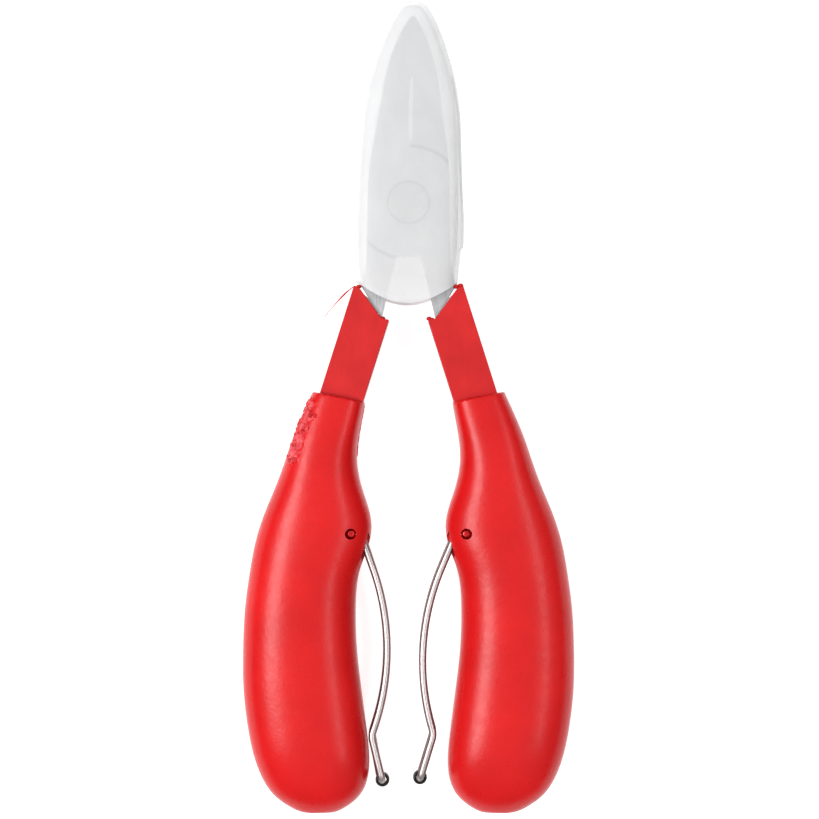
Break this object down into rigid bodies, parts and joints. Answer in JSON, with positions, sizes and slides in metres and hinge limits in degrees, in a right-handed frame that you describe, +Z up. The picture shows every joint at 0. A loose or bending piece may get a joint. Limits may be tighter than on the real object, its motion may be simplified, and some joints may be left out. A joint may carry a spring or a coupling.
{
  "type": "nail nipper",
  "caption": "Plier-type pet nail nipper with lap-jointed steel jaws, moulded grips, hairpin bow springs and a soft translucent jaw cap.",
  "frame": {"origin": "centre of the whole outline, on the surface that the nipper lies on", "axes": "+Y from the handles towards the jaw tips, +Z up out of the surface, parallel to the rivet's axis, +X to the right"},
  "size_m": [0.0672, 0.1644, 0.016],
  "materials": {
    "jaw_steel": "satin ground stainless steel",
    "rivet_steel": "faced flush with the joint",
    "neck_plastic": "plain moulded red, matte",
    "grip_plastic": "soft-gloss red with a fine moulded skin",
    "spring_wire": "drawn stainless spring wire",
    "pin_steel": "plain cut wire",
    "cap_plastic": "milky translucent soft plastic"
  },
  "bodies": {
    "back_half": {"jaw_back": "jaw_steel", "pivot_rivet": "rivet_steel", "neck_sleeve_left": "neck_plastic", "grip_left": "grip_plastic", "spring_pin_left": "pin_steel"},
    "front_half": {"jaw_front": "jaw_steel", "neck_sleeve_right": "neck_plastic", "grip_right": "grip_plastic", "spring_pin_right": "pin_steel"},
    "cap": {"blade_cap": "cap_plastic"},
    "left_spring": {"spring_left": "spring_wire"},
    "right_spring": {"spring_right": "spring_wire"},
    "left_roller": {"spring_roller_left": "spring_wire"},
    "right_roller": {"spring_roller_right": "spring_wire"}
  },
  "joints": [
    {"name": "jaw_open", "type": "hinge", "parent": "back_half", "child": "front_half", "pos_m": [0, 0.0411, 0.008], "axis": [0, 0, 1], "range_deg": [0, 16]},
    {"name": "cap_pull", "type": "slide", "parent": "back_half", "child": "cap", "axis": [0, 1, 0], "range_m": [0, 0.081]},
    {"name": "left_spring_swing", "type": "hinge", "parent": "back_half", "child": "left_spring", "pos_m": [-0.0116, -0.0255, 0.008], "axis": [0, 0, 1], "range_deg": [0, 4.3]},
    {"name": "right_spring_swing", "type": "hinge", "parent": "front_half", "child": "right_spring", "pos_m": [0.0116, -0.0255, 0.008], "axis": [0, 0, 1], "range_deg": [-0.9, 3.3]},
    {"name": "left_roller_spin", "type": "hinge", "parent": "left_spring", "child": "left_roller", "pos_m": [-0.00528, -0.07551, 0.008], "axis": [0, 0, 1], "continuous": true},
    {"name": "right_roller_spin", "type": "hinge", "parent": "right_spring", "child": "right_roller", "pos_m": [0.00233, -0.07505, 0.008], "axis": [0, 0, 1], "continuous": true}
  ],
  "couplings": [
    {"joint": "cap_pull", "follows": "jaw_open", "m_per_rad": 0.28648}
  ]
}
